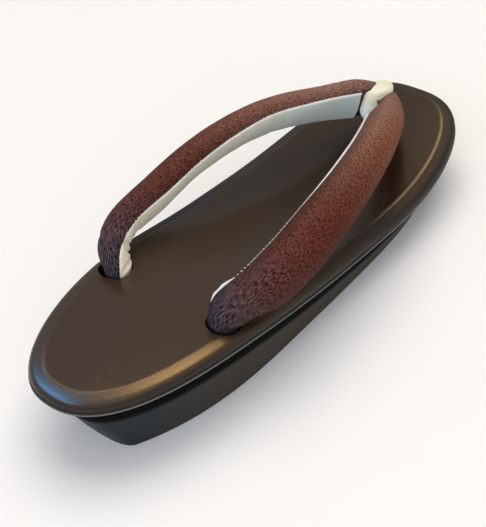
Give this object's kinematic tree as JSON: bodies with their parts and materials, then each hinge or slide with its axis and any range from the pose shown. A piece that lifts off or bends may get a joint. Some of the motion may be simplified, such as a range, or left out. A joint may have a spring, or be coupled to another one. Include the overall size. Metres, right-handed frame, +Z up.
{
  "type": "zori sandal",
  "caption": "Oval wedge-soled zori sandal with a padded leather footbed and a stuffed cloth thong strap, lined in white and held by a loop between the toes.",
  "frame": {"origin": "on the floor under the middle of the sandal's length and width", "axes": "+Y towards the toe, +X to the wearer's right, +Z up"},
  "size_m": [0.0882, 0.245, 0.0608],
  "materials": {
    "sole": "satin",
    "leather": "satin",
    "strap_cloth": "matte",
    "lining": "matte",
    "velvet": "matte"
  },
  "bodies": {
    "root": {"sole": "sole", "footbed": "leather", "strap": "strap_cloth", "strap_lining_right": "lining", "strap_lining_left": "lining", "toe_loop": "velvet"}
  },
  "joints": []
}
